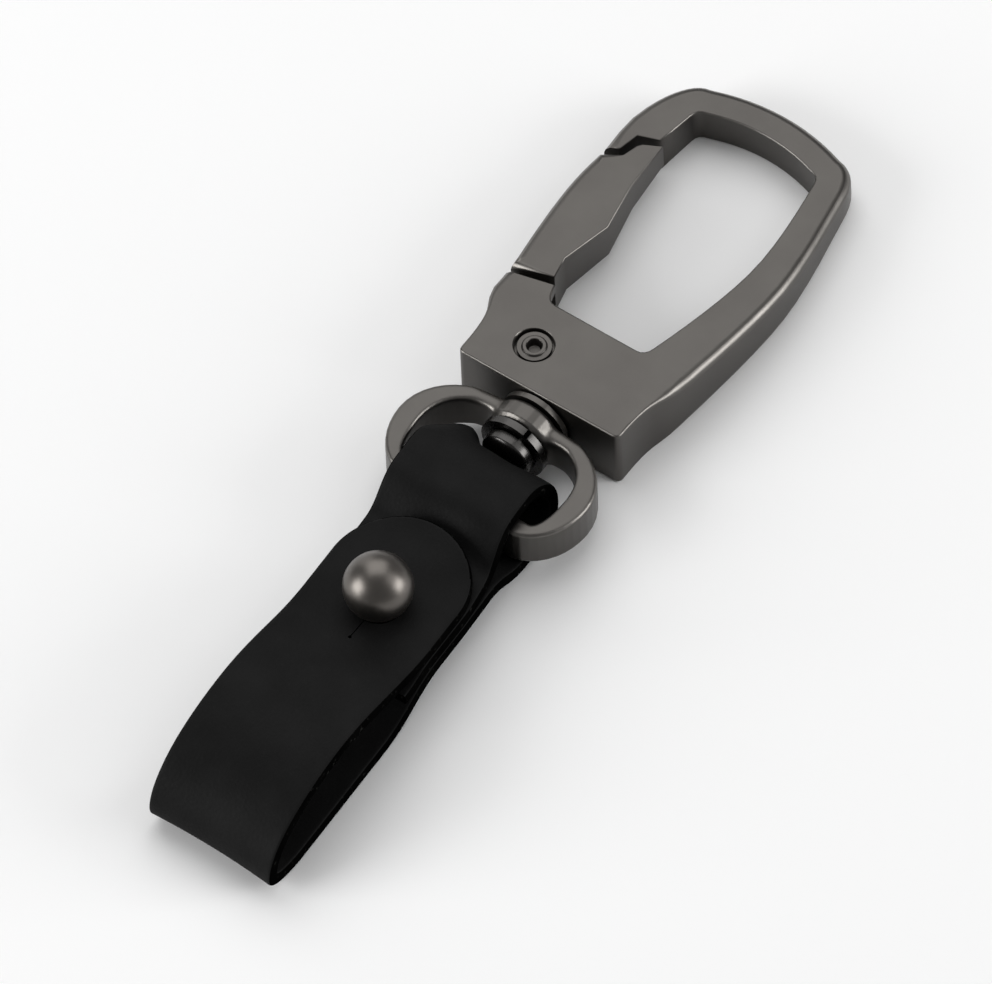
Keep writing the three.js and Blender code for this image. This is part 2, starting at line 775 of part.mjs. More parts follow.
const strapRoute = [
  line(studY - strapEndPastStud, frontMiddle, pinchStart, frontMiddle),
  ease(pinchStart, frontMiddle, -legDropStart, legTop, 0.44),
  line(-legDropStart, legTop, foldSlack, legTop),
  arc(foldSlack, barZ, foldRadius, foldRadius, 90, -90),
  line(foldSlack, legBottom, -legDropStart, legBottom),
  ease(-legDropStart, legBottom, pinchStart, backMiddle, 0.44),
  line(pinchStart, backMiddle, pinchEnd, backMiddle),
  ease(pinchEnd, backMiddle, tableStart, halfLeather, 0.44),
  line(tableStart, halfLeather, lowerCenterY, halfLeather),
  arc(lowerCenterY, loopApexHeight, loopLowerRun, loopLowerRise, 270, 180),
  arc(upperCenterY, loopApexHeight, loopUpperRun, loopUpperRise, 180, flapHingeAngle + hingeGapAngle),
];

const flapRoute = [
  arc(upperCenterY, loopApexHeight, loopUpperRun, loopUpperRise, flapHingeAngle - hingeGapAngle, 90),
  ease(upperCenterY, loopApexHeight + loopUpperRise, pinchEnd, flapMiddle, 0.38),
  line(pinchEnd, flapMiddle, flapEndY - flapLiftLength, flapMiddle),
  new THREE.QuadraticBezierCurve(
    new THREE.Vector2(flapEndY - flapLiftLength, flapMiddle),
    new THREE.Vector2(flapEndY - flapLiftLength / 2, flapMiddle),
    new THREE.Vector2(flapEndY, flapMiddle + flapLift),
  ),
];

// The loop's fold lies askew: it reaches further on the +x side
function skewLoop(position) {
  for (let i = 0; i < position.count; i++) {
    const share = THREE.MathUtils.smoothstep(-position.getY(i), -upperCenterY, -loopApexY);
    const shift = (loopSkew * share * position.getX(i)) / (strapWidth / 2);
    position.setY(i, position.getY(i) - shift);
  }
}

// Leather band along a route in the y-z plane, across the strap's width
function leatherBand(route) {
  const middle = [];
  for (const part of route) {
    const straight = part instanceof THREE.LineCurve;
    const points = part.getPoints(straight ? 1 : 12);
    middle.push(...points.slice(middle.length > 0 ? 1 : 0));
  }
  const normalAt = (i) => {
    const before = middle[Math.max(i - 1, 0)];
    const after = middle[Math.min(i + 1, middle.length - 1)];
    return new THREE.Vector2(before.y - after.y, after.x - before.x).normalize();
  };
  const above = middle.map((p, i) => p.clone().addScaledVector(normalAt(i), halfLeather));
  const below = middle.map((p, i) => p.clone().addScaledVector(normalAt(i), -halfLeather));
  const shape = new THREE.Shape([...above, ...below.reverse()]);
  const geometry = new THREE.ExtrudeGeometry(shape, { depth: strapWidth, bevelEnabled: false });
  geometry.translate(0, 0, -strapWidth / 2);
  const alongY = new THREE.Vector3(0, 1, 0);
  const alongZ = new THREE.Vector3(0, 0, 1);
  const alongX = new THREE.Vector3(1, 0, 0);
  geometry.applyMatrix4(new THREE.Matrix4().makeBasis(alongY, alongZ, alongX));
  skewLoop(geometry.attributes.position);
  return solidOf(geometry);
}

// Plan of the strap: full width at the loop, narrower where it goes through the ring
function strapPlan() {
  const half = strapWidth / 2;
  const ringHalf = strapRingWidth / 2;
  const right = [
    new THREE.Vector2(half, -farAway),
    new THREE.Vector2(half, flapEndY - half),
    new THREE.Vector2(ringHalf, 0),
    new THREE.Vector2(ringHalf, farAway),
  ];
  return [...right, ...mirrored(right)];
}

function strap() {
  const holes = cylinderAlongZ(screwRadius + fitGap, 0, frontMiddle + strapThickness, 0, studY);
  const pocketFloor = frontMiddle + halfLeather - studFlangeThickness - fitGap;
  const pocket = cylinderAlongZ(studFlangeRadius + fitGap, pocketFloor, flapMiddle - halfLeather, 0, studY);
  const band = leatherBand(strapRoute).intersect(prism(strapPlan(), -farAway, farAway));
  return geometryOf(band.subtract(holes).subtract(pocket));
}

// Front flap with a round end and a buttonhole that seats on the ball
function strapFlap() {
  const half = strapWidth / 2;
  const roundEnd = new THREE.EllipseCurve(0, flapEndY - half, half, half, 0, Math.PI);
  const plan = [
    ...roundEnd.getPoints(20),
    new THREE.Vector2(-half, -farAway - half),
    new THREE.Vector2(half, -farAway - half),
  ];
  const slit = new THREE.BoxGeometry(slitWidth, slitReach, strapThickness * 3);
  slit.translate(0, studY - slitReach / 2, flapMiddle);
  let solid = leatherBand(flapRoute).intersect(prism(plan, -farAway, farAway));
  solid = solid.subtract(sphereAt(ballRadius + fitGap, ballCenter));
  solid = solid.subtract(cylinderAlongZ(studNeckRadius + fitGap, 0, farAway, 0, studY));
  solid = solid.subtract(solidOf(slit));
  return geometryOf(solid);
}

// Stud pieces

const flangeTop = frontMiddle + halfLeather;
const flangeBottom = flangeTop - studFlangeThickness;
const studBoreTop = flangeBottom + studBoreLength;

function ballStud() {
  const neckTop = ballCenter.z - Math.sqrt(ballRadius ** 2 - studNeckRadius ** 2);
  const neckAngle = Math.atan2(neckTop - ballCenter.z, studNeckRadius);
  const ball = new THREE.EllipseCurve(0, ballCenter.z, ballRadius, ballRadius, neckAngle, Math.PI / 2);
  const profile = [
    new THREE.Vector2(0, studBoreTop),
    new THREE.Vector2(screwRadius + fitGap, studBoreTop),
    new THREE.Vector2(screwRadius + fitGap, flangeBottom),
    new THREE.Vector2(studFlangeRadius, flangeBottom),
    new THREE.Vector2(studFlangeRadius, flangeTop),
    new THREE.Vector2(studNeckRadius, flangeTop),
    ...ball.getPoints(18),
  ];
  profile[profile.length - 1].x = 0;
  const geometry = turned(profile);
  geometry.rotateX(Math.PI / 2);
  geometry.translate(0, studY, 0);
  return geometry;
}

function studScrew() {
  const headTop = pinchLift - fitGap;
  const headBottom = headTop - screwHeadThickness;
  const shankTop = studBoreTop - fitGap;
  const profile = [
    new THREE.Vector2(0, headBottom),
    new THREE.Vector2(screwHeadRadius, headBottom),
    new THREE.Vector2(screwHeadRadius, headTop),
    new THREE.Vector2(screwRadius, headTop),
    new THREE.Vector2(screwRadius, shankTop),
    new THREE.Vector2(0, shankTop),
  ];
  const body = turned(profile);
  body.rotateX(Math.PI / 2);
  const slot = new THREE.BoxGeometry(screwHeadRadius * 3, screwSlotWidth, screwSlotDepth * 2);
  slot.translate(0, 0, headBottom);
  const geometry = geometryOf(solidOf(body).subtract(solidOf(slot)));
  geometry.translate(0, studY, 0);
  return geometry;
}

// Assembly

function piece(name, geometry, finish) {
  const mesh = new THREE.Mesh(geometry, new THREE.MeshStandardMaterial(finish));
  mesh.name = name;
  return mesh;
}

const hookAssembly = new THREE.Group();
hookAssembly.position.z = hookLift;
hookAssembly.rotation.x = -wedgeAngle;
hookAssembly.add(
  piece('hook_body', hookBody(), gunmetal),
  piece('gate', gate(), gunmetal),
  piece('gate_pivot_rivet', gatePivotPin(), darkSteel),
  piece('gate_torsion_spring', gateSpring(), springSteel),
  piece('swivel_pin', swivelPin(), darkSteel),
  piece('thrust_washer', thrustWasher(), gunmetal),
  piece('swivel_ring', swivelRing(), gunmetal),
  piece('split_washer', splitWasher(), gunmetal),
);

const strapAssembly = new THREE.Group();
strapAssembly.position.set(strapOffset, barY, 0);
strapAssembly.rotation.z = radians(strapYaw);
strapAssembly.add(
  piece('strap', strap(), leather),
  piece('strap_flap', strapFlap(), leather),
  piece('ball_stud', ballStud(), gunmetal),
  piece('stud_screw', studScrew(), darkSteel),
);

// The origin is under the middle of the keychain, on the table
const keychain = new THREE.Group();
keychain.add(hookAssembly, strapAssembly);
keychain.updateMatrixWorld(true);
const extent = new THREE.Box3().setFromObject(keychain, true);
const center = extent.getCenter(new THREE.Vector3());
keychain.position.set(-center.x, -center.y, -extent.min.z);

export default keychain;
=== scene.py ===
import json
import math

import bmesh
import bpy
import numpy as np
from mathutils import Matrix, Vector


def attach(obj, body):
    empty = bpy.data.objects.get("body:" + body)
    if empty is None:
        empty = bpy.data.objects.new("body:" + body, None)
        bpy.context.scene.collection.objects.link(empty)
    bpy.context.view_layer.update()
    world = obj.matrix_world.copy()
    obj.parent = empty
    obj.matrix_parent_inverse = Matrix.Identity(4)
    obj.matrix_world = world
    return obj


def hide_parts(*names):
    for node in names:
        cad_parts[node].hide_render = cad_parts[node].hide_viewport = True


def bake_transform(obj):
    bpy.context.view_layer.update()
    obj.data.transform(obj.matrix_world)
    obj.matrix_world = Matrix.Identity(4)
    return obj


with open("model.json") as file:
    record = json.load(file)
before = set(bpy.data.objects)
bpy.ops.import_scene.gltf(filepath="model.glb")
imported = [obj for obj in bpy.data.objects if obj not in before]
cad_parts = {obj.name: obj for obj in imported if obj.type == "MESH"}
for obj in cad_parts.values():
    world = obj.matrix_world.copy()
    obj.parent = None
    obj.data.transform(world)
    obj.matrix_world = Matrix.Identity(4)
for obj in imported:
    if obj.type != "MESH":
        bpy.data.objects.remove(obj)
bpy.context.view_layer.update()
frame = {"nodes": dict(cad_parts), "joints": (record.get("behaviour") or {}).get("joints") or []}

# Lengths below are in millimetres; MM turns them into metres. Angles are in degrees.
MM = 0.001

# Gate pivot in the hook's own frame
PIVOT = (-5.1, 6.5, 0)

# Swivel pin, along the hook's -y
PIN_RADIUS = 2.2
PIN_END = 3.7
PIN_HEAD_RADIUS = 3.75
PIN_HEAD_START = -6.5
PIN_HEAD_LENGTH = 2.3

# Ring: its cast softness, and how far from the boss and the bar the boss runs into the band
RING_GRAIN = 0.15
RING_RELAX_STEPS = 4
RUN_IN_STEPS = 160
RUN_IN_FROM_BOSS = (3.0, 5.0)
RUN_IN_TO_BAND = (6.5, 9.0)
RUN_IN_FROM_BAR = (-6.5, -5.2)

# Lean of a casting's rounded edges, from 0 on a wall to 1 on a flat; the edges between are painted
# lighter, as wear and as painted highlight
EDGE_FROM_WALL = (0.12, 0.45)
EDGE_TO_FLAT = (0.88, 0.975)

# Rivet of the gate
RIVET_HEAD_TOP = 4.66
RIVET_HEAD_THICKNESS = 0.6
RIVET_HEAD_RADIUS = 2.4
RIVET_PIN_RADIUS = 1.5
RIVET_LIP_RADIUS = 1.6
RIVET_LIP_HEIGHT = 0.2
RIVET_HOLLOW_RADIUS = 1.1
RIVET_HOLLOW_DEPTH = 1.1

# Strap, in its own frame: y from the ring's bar, z from the table
STRAP_WIDTH = 20.2
STRAP_RING_WIDTH = 18.8
STRAP_THICKNESS = 2.0
STRAP_OFFSET = 0.55
STRAP_YAW = 0.75
BAR_HEIGHT = 6.104
FOLD_RADIUS = 4.538
FOLD_SLACK = 3.35
LEG_DROP_START = 0.5
PINCH_START = -8.5
BACK_LAYER = 4.4
FRONT_LAYER = 6.7
FLAP_LAYER = 9.0
STUD_Y = -19.8
STRAP_END_Y = -28.8
STRAP_END_SAG = 1.0
PINCH_END = -22.0
BACK_BEND_START = -20.5
TABLE_START = -34.5
LOOP_APEX_Y = -59.6
LOOP_APEX_HEIGHT = 3.5
LOOP_TOP = 12.4
LOOP_UPPER_RUN = 16.3
LOOP_LOWER_RUN = 7.0
LOOP_SKEW = 0.5
LOOP_DRAW = 0.4
FLAP_END_Y = -5.9
FLAP_LIFT = 1.0
FLAP_LIFT_LENGTH = 6.5
END_PULL = 0.4
LEG_PULL = 0.44
LOOP_PULL = 0.38
LEATHER_STEP = 0.5
APEX_STEP = 0.12
APEX_LENGTH = 3.0
RIM_ROUNDING = 0.4
RIM_SHARE = 0.62
WAVE = 0.07
# Band along the cut edges where the grain side takes the darker cut-edge finish: painted shade on the
# rounded rims
RIM_PAINTED_SHADE = 0.22
FRONT_LEG_SHIFT = -1.1
BACK_LEG_SHIFT = 0.4
FOLD_BULGE = 1.9
FOLD_BULGE_X = -5.2
FOLD_BULGE_REACH = 3.0
FOLD_BULGE_REACH_TO_PIN = 1.6
FOLD_CORNER_DRAW = 0.8
SLIT_REACH = 7.0
SLIT_WIDTH = 0.14
SLIT_END_RADIUS = 0.25

# Ball stud
BALL_RADIUS = 4.8
BALL_HEIGHT = 13.6
NECK_RADIUS = 2.1
FLANGE_RADIUS = 3.6
FLANGE_TOP = 7.7
FLANGE_THICKNESS = 0.8
BORE_RADIUS = 1.5
BORE_TOP = 10.1
SEAT_GAP = 0.3

# Scale of the patterns in the finishes, in repeats to the metre, and depth of their relief
PLATING_CLOUD = 140
PLATING_GRAIN = 3800
PLATING_RELIEF = 0.02
# Patches of the lighter edges: wear and painted highlight
WEAR_AND_HIGHLIGHT_PATCHES = 420
LEATHER_CLOUD = 180
LEATHER_PORES = 1900
LEATHER_GRAIN = 2600
LEATHER_FIBRES = 1300
LEATHER_RELIEF = 0.08

# Table and camera
TABLE_REACH = 3.0
TABLE_DROP = 0.05
CAMERA_DISTANCE = 5.0
CAMERA_FILM = 36
VIEW_WIDTH = 132.27


# Places


def place(origin, along_x, along_y):
    """Frame at an origin with its x axis and, as near as may be, its y axis along two directions."""
    x = Vector(along_x).normalized()
    z = x.cross(Vector(along_y)).normalized()
    turn = Matrix((x, z.cross(x), z)).transposed().to_4x4()
    return Matrix.Translation(Vector(origin)) @ turn


joints = {joint["name"]: joint for joint in frame["joints"]}
hook_turn = place((0, 0, 0), (1, 0, 0), joints["ring_swivel"]["axis"])
hook_place = Matrix.Translation(
    Vector(joints["gate_open"]["pos_m"]) - hook_turn @ (Vector(PIVOT) * MM)
) @ hook_turn
bar = joints["strap_swing"]["pos_m"]
strap_turn = Matrix.Rotation(math.radians(STRAP_YAW), 4, "Z")
strap_place = Matrix.Translation((STRAP_OFFSET * MM, bar[1], 0)) @ strap_turn


def smooth_step(value, low, high):
    share = np.clip((value - low) / (high - low), 0, 1)
    return share * share * (3 - 2 * share)


# Materials


def node_material(name):
    """New material, its nodes, its links and its main shader."""
    material = bpy.data.materials.new(name)
    material.use_nodes = True
    nodes = material.node_tree.nodes
    return material, nodes, material.node_tree.links, nodes["Principled BSDF"]


def noise(nodes, links, coordinates, scale, detail=4.0):
    texture = nodes.new("ShaderNodeTexNoise")
    texture.inputs["Scale"].default_value = scale
    texture.inputs["Detail"].default_value = detail
    links.new(coordinates.outputs["Object"], texture.inputs["Vector"])
    return texture


def ramp(nodes, links, source, low, high, low_at=0.3, high_at=0.7):
    """Colour ramp between two colours, fed by a texture's value."""
    node = nodes.new("ShaderNodeValToRGB")
    first, last = node.color_ramp.elements
    first.position, first.color = low_at, (*low, 1)
    last.position, last.color = high_at, (*high, 1)
    links.new(source, node.inputs["Fac"])
    return node


def spread(nodes, links, source, low, high):
    """Number between two limits, fed by a texture's value."""
    node = nodes.new("ShaderNodeMapRange")
    node.inputs["To Min"].default_value = low
    node.inputs["To Max"].default_value = high
    links.new(source, node.inputs["Value"])
    return node


def bump(nodes, links, height, strength, distance):
    node = nodes.new("ShaderNodeBump")
    node.inputs["Strength"].default_value = strength
    node.inputs["Distance"].default_value = distance
    links.new(height, node.inputs["Height"])
    return node


def metal(name, dark, light, worn_and_lit, rough_low, rough_high, grain):
    """Plated metal, its rounded edges painted lighter here and there: partly rubbed plating, partly
    painted highlight.
    """
    material, nodes, links, shader = node_material(name)
    coordinates = nodes.new("ShaderNodeTexCoord")
    cloud = noise(nodes, links, coordinates, PLATING_CLOUD)
    fine = noise(nodes, links, coordinates, PLATING_GRAIN, 2.0)
    tone = ramp(nodes, links, cloud.outputs["Fac"], dark, light)
    # Rounded edges painted lighter in patches: rubbed plating and painted highlight
    edge = nodes.new("ShaderNodeAttribute")
    edge.attribute_name = "edge_wear_and_highlight"
    patches = noise(nodes, links, coordinates, WEAR_AND_HIGHLIGHT_PATCHES, 3.0)
    rubbed_and_lit = spread(nodes, links, patches.outputs["Fac"], 0.2, 1.0)
    share = nodes.new("ShaderNodeMath")
    share.operation = "MULTIPLY"
    links.new(edge.outputs["Fac"], share.inputs[0])
    links.new(rubbed_and_lit.outputs["Result"], share.inputs[1])
    plating = nodes.new("ShaderNodeMixRGB")
    plating.inputs["Color2"].default_value = (*worn_and_lit, 1)
    links.new(share.outputs["Value"], plating.inputs["Fac"])
    links.new(tone.outputs["Color"], plating.inputs["Color1"])
    links.new(plating.outputs["Color"], shader.inputs["Base Color"])
    rough = spread(nodes, links, fine.outputs["Fac"], rough_low, rough_high)
    links.new(rough.outputs["Result"], shader.inputs["Roughness"])
    relief = bump(nodes, links, fine.outputs["Fac"], grain, PLATING_RELIEF * MM)
    links.new(relief.outputs["Normal"], shader.inputs["Normal"])
    shader.inputs["Metallic"].default_value = 1
    return material


def leather(name, dark, light, fibre, rough_low, rough_high, grain, shine):
    """Dyed leather with pores, fine grain and loose fibres of another shade."""
    material, nodes, links, shader = node_material(name)
    coordinates = nodes.new("ShaderNodeTexCoord")
    cloud = noise(nodes, links, coordinates, LEATHER_CLOUD)
    pores = nodes.new("ShaderNodeTexVoronoi")
    pores.inputs["Scale"].default_value = LEATHER_PORES
    links.new(coordinates.outputs["Object"], pores.inputs["Vector"])
    fine = noise(nodes, links, coordinates, LEATHER_GRAIN, 6.0)
    tone = ramp(nodes, links, cloud.outputs["Fac"], dark, light)
    strands = noise(nodes, links, coordinates, LEATHER_FIBRES, 3.0)
    loose = ramp(nodes, links, strands.outputs["Fac"], (0, 0, 0), fibre, 0.64, 0.74)
    dyed = nodes.new("ShaderNodeVectorMath")
    links.new(tone.outputs["Color"], dyed.inputs[0])
    links.new(loose.outputs["Color"], dyed.inputs[1])
    links.new(dyed.outputs["Vector"], shader.inputs["Base Color"])
    rough = spread(nodes, links, fine.outputs["Fac"], rough_low, rough_high)
    links.new(rough.outputs["Result"], shader.inputs["Roughness"])
    both = nodes.new("ShaderNodeMath")
    both.operation = "ADD"
    links.new(pores.outputs["Distance"], both.inputs[0])
    links.new(fine.outputs["Fac"], both.inputs[1])
    relief = bump(nodes, links, both.outputs["Value"], grain, LEATHER_RELIEF * MM)
    links.new(relief.outputs["Normal"], shader.inputs["Normal"])
    shader.inputs["Specular IOR Level"].default_value = shine
    return material


# The worn colour lightens rounded edges: rubbed plating and painted highlight
gunmetal = metal(
    "gunmetal_plating",
    dark=(0.086, 0.081, 0.076),
    light=(0.096, 0.091, 0.085),
    worn_and_lit=(0.2, 0.19, 0.178),
    rough_low=0.34,
    rough_high=0.41,
    grain=0.06,
)
ball_metal = metal(
    "ball_plating",
    dark=(0.124, 0.114, 0.105),
    light=(0.135, 0.125, 0.115),
    worn_and_lit=(0.2, 0.19, 0.178),
    rough_low=0.33,
    rough_high=0.39,
    grain=0.03,
)
dark_steel = metal(
    "dark_steel",
    dark=(0.06, 0.058, 0.056),
    light=(0.08, 0.078, 0.076),
    worn_and_lit=(0.14, 0.135, 0.13),
    rough_low=0.24,
    rough_high=0.32,
    grain=0.05,
)
spring_steel = metal(
    "spring_steel",
    dark=(0.3, 0.3, 0.29),
    light=(0.38, 0.38, 0.37),
    worn_and_lit=(0.45, 0.45, 0.44),
    rough_low=0.25,
    rough_high=0.35,
    grain=0.05,
)
grain_leather = leather(
    "black_leather",
    dark=(0.0045, 0.0045, 0.0045),
    light=(0.007, 0.007, 0.007),
    fibre=(0.002, 0.002, 0.002),
    rough_low=0.5,
    rough_high=0.64,
    grain=0.25,
    shine=0.08,
)
# Raw cut edge, near black; the same colour is laid on the grain side's rims as painted shade
cut_edge_and_rim_shade = leather(
    "cut_edge_and_rim_shade",
    dark=(0.0008, 0.0008, 0.0008),
    light=(0.002, 0.002, 0.0019),
    fibre=(0.014, 0.014, 0.013),
    rough_low=0.85,
    rough_high=1.0,
    grain=0.6,
    shine=0.0,
)


# Metal pieces


def show(name, mesh, materials):
    mesh.name = name
    piece = bpy.data.objects.new(name, mesh)
    bpy.context.scene.collection.objects.link(piece)
    if materials:
        mesh.materials.clear()
    for material in materials:
        mesh.materials.append(material)
    return piece


def smooth(piece, sharp_above):
    """Smooth shading with crisp edges, and flat faces kept flat beside rounded ones."""
    piece.data.shade_smooth()
    piece.data.set_sharp_from_angle(angle=math.radians(sharp_above))
    even_light = piece.modifiers.new("even_light", "WEIGHTED_NORMAL")
    even_light.keep_sharp = True
    even_light.weight = 80


def merged_mesh(node):
    """Copy of a CAD node's mesh with its corners joined and its flat faces whole."""
    mesh = frame["nodes"][node].data.copy()
    work = bmesh.new()
    work.from_mesh(mesh)
    bmesh.ops.remove_doubles(work, verts=work.verts, dist=2e-6)
    flat = math.radians(0.15)
    bmesh.ops.dissolve_limit(work, angle_limit=flat, verts=work.verts, edges=work.edges)
    work.to_mesh(mesh)
    work.free()
    return mesh


def stand_for(piece, node, body):
    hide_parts(node)
    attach(piece, body)


def paint_wear_and_highlight_edges(mesh):
    """Marks the faces of a casting's rounded edges, between its flats and its walls, to be painted
    lighter: partly as rubbed plating, partly as painted highlight.
    """
    up = hook_place.to_3x3() @ Vector((0, 0, 1))
    normals = np.array([face.normal for face in mesh.polygons])
    lean = np.abs(normals @ np.array(up))
    worn_and_lit = smooth_step(lean, *EDGE_FROM_WALL) * (1 - smooth_step(lean, *EDGE_TO_FLAT))
    mark = mesh.attributes.new("edge_wear_and_highlight", "FLOAT", "FACE")
    mark.data.foreach_set("value", worn_and_lit.astype(np.float32))


def cast_piece(name, node, body, material, worn_and_lit=False):
    piece = show(name, merged_mesh(node), [material])
    if worn_and_lit:
        paint_wear_and_highlight_edges(piece.data)
    smooth(piece, 35)
    stand_for(piece, node, body)


def finished_mesh(piece):
    """Plain mesh of a piece with its modifiers worked in."""
    graph = bpy.context.evaluated_depsgraph_get()
    mesh = bpy.data.meshes.new_from_object(piece.evaluated_get(graph))
    piece.modifiers.clear()
    return mesh


def softened_ring():
    """The ring with its boss run into the band, as cast."""
    mesh = merged_mesh("swivel_ring")
    mesh.transform(hook_place.inverted())
    piece = show("swivel_ring_band", mesh, [gunmetal])
    blocks = piece.modifiers.new("blocks", "REMESH")
    blocks.mode = "VOXEL"
    blocks.voxel_size = RING_GRAIN * MM
    relaxed = piece.modifiers.new("relaxed", "SMOOTH")
    relaxed.factor = 0.5
    relaxed.iterations = RING_RELAX_STEPS
    piece.data = finished_mesh(piece)
    fillets = piece.vertex_groups.new(name="fillets")
    for vertex in piece.data.vertices:
        side = abs(vertex.co.x) / MM
        near = smooth_step(side, *RUN_IN_FROM_BOSS) * (1 - smooth_step(side, *RUN_IN_TO_BAND))
        near *= smooth_step(vertex.co.y / MM, *RUN_IN_FROM_BAR)
        if near > 0:
            fillets.add([vertex.index], float(near), "REPLACE")
    run_in = piece.modifiers.new("run_in", "SMOOTH")
    run_in.factor = 0.5
    run_in.iterations = RUN_IN_STEPS
    run_in.vertex_group = "fillets"
    mesh = finished_mesh(piece)
    piece.vertex_groups.clear()
    mesh.transform(hook_place)
    piece.data = mesh
    # The band's rounded edges and the boss's sides are painted lighter: wear and painted highlight
    paint_wear_and_highlight_edges(mesh)
    mesh.shade_smooth()
    stand_for(piece, "swivel_ring", "ring")


def rounded_corners(profile, radius):
    """Profile of radius and height with its corners eased, the ends kept."""
    points = [Vector(p) for p in profile]
    eased = [points[0]]
    for before, corner, after in zip(points, points[1:], points[2:]):
        reach_in = min(radius, (before - corner).length / 2.1)
        reach_out = min(radius, (after - corner).length / 2.1)
        start = corner + (before - corner).normalized() * reach_in
        end = corner + (after - corner).normalized() * reach_out
        for share in (0, 0.25, 0.5, 0.75, 1):
            first = start.lerp(corner, share)
            eased.append(first.lerp(corner.lerp(end, share), share))
    eased.append(points[-1])
    return eased


def turned_mesh(name, profile, where, sides=96):
    """Mesh turned about z from a profile of radius and height that ends on the axis or closes."""
    work = bmesh.new()
    rings = []
    for radius, height in profile:
        if radius < 1e-6:
            rings.append([work.verts.new((0, 0, height * MM))])
            continue
        ring = []
        for side in range(sides):
            angle = 2 * math.pi * side / sides
            spot = (radius * math.cos(angle) * MM, radius * math.sin(angle) * MM, height * MM)
            ring.append(work.verts.new(spot))
        rings.append(ring)
    for low, high in zip(rings, rings[1:]):
        for side in range(sides):
            after = (side + 1) % sides
            if len(low) == 1:
                work.faces.new((low[0], high[after], high[side]))
            elif len(high) == 1:
                work.faces.new((low[side], low[after], high[0]))
            else:
                work.faces.new((low[side], low[after], high[after], high[side]))
    bmesh.ops.recalc_face_normals(work, faces=work.faces)
    mesh = bpy.data.meshes.new(name)
    work.to_mesh(mesh)
    work.free()
    mesh.transform(where)
    return mesh


def turned_piece(name, profile, where, node, body, material):
    piece = show(name, turned_mesh(name, profile, where), [material])
    piece.data.shade_smooth()
    piece.data.set_sharp_from_angle(angle=math.radians(50))
    stand_for(piece, node, body)


def arc(center_y, center_z, run_y, run_z, start, end, steps=160):
    angles = np.radians(np.linspace(start, end, steps))
    return np.column_stack([center_y + run_y * np.cos(angles), center_z + run_z * np.sin(angles)])


def gate_rivet():
    top = RIVET_HEAD_TOP
    upper = [
        (RIVET_PIN_RADIUS, top - RIVET_HEAD_THICKNESS),
        (RIVET_HEAD_RADIUS, top - RIVET_HEAD_THICKNESS),
        (RIVET_HEAD_RADIUS, top),
        (RIVET_LIP_RADIUS + 0.15, top - 0.1),
        (RIVET_LIP_RADIUS, top + RIVET_LIP_HEIGHT),
        (RIVET_HOLLOW_RADIUS, top + RIVET_LIP_HEIGHT),
        (RIVET_HOLLOW_RADIUS - 0.25, top - RIVET_HOLLOW_DEPTH),
        (0, top - RIVET_HOLLOW_DEPTH),
    ]
    lower = [(radius, -height) for radius, height in reversed(upper)]
    where = hook_place @ Matrix.Translation(Vector(PIVOT) * MM)
    profile = rounded_corners(lower + upper, 0.12)
    turned_piece("gate_rivet", profile, where, "gate_pivot_rivet", "hook", gunmetal)


def swivel_pin():
    half = PIN_HEAD_LENGTH / 2
    dome = arc(0, -PIN_HEAD_START + half, PIN_HEAD_RADIUS, half, 90, 0, 24)
    dome[0, 0] = 0
    profile = [
        *[tuple(p) for p in dome],
        (PIN_HEAD_RADIUS, -PIN_HEAD_START),
        (PIN_RADIUS, -PIN_HEAD_START),
        (PIN_RADIUS, -PIN_END),
        (0, -PIN_END),
    ]
    where = hook_place @ Matrix.Rotation(math.radians(90), 4, "X")
    turned_piece("swivel_pin_domed", profile, where, "swivel_pin", "hook", dark_steel)


def ball_stud():
    neck = math.sqrt(BALL_RADIUS**2 - NECK_RADIUS**2)
    start = -math.degrees(math.asin(neck / BALL_RADIUS))
    ball = arc(0, BALL_HEIGHT, BALL_RADIUS, BALL_RADIUS, start, 90, 64)
    ball[-1, 0] = 0
    bottom = FLANGE_TOP - FLANGE_THICKNESS
    profile = [
        (0, BORE_TOP),
        (BORE_RADIUS, BORE_TOP),
        (BORE_RADIUS, bottom),
        (FLANGE_RADIUS, bottom),
        (FLANGE_RADIUS, FLANGE_TOP),
        (NECK_RADIUS, FLANGE_TOP),
        *[tuple(p) for p in ball],
    ]
    where = strap_place @ Matrix.Translation((0, STUD_Y * MM, 0))
    turned_piece("ball_head_stud", profile, where, "ball_stud", "strap", ball_metal)


# Rounded edges of these castings are painted lighter: wear and painted highlight
cast_piece("hook_casting", "hook_body", "hook", gunmetal, worn_and_lit=True)
cast_piece("gate_leaf", "gate", "gate", gunmetal, worn_and_lit=True)
cast_piece("thrust_washer_plate", "thrust_washer", "hook", gunmetal, worn_and_lit=True)
cast_piece("split_washer_plate", "split_washer", "hook", dark_steel)
cast_piece("stud_back_screw", "stud_screw", "strap", dark_steel)
cast_piece("gate_spring_wire", "gate_torsion_spring", "hook", spring_steel)
softened_ring()
gate_rivet()
swivel_pin()
ball_stud()


# Leather


def line(y0, z0, y1, z1):
    return np.linspace((y0, z0), (y1, z1), 80)


def bend(y0, z0, y1, z1, pull):
    """Ease from one level to another, level at both ends."""
    share = np.linspace(0, 1, 160)[:, None]
    rest = 1 - share
    ends = rest**3 * (y0, z0) + share**3 * (y1, z1)
    near = 3 * rest**2 * share * (y0 + (y1 - y0) * pull, z0)
    far = 3 * rest * share**2 * (y1 + (y0 - y1) * pull, z1)
    return ends + near + far


def lift(y0, z0, y1, z1):
    """Level at first, then rising to its end."""
    share = np.linspace(0, 1, 120)[:, None]
    rest = 1 - share
    return rest**2 * (y0, z0) + 2 * rest * share * ((y0 + y1) / 2, z0) + share**2 * (y1, z1)


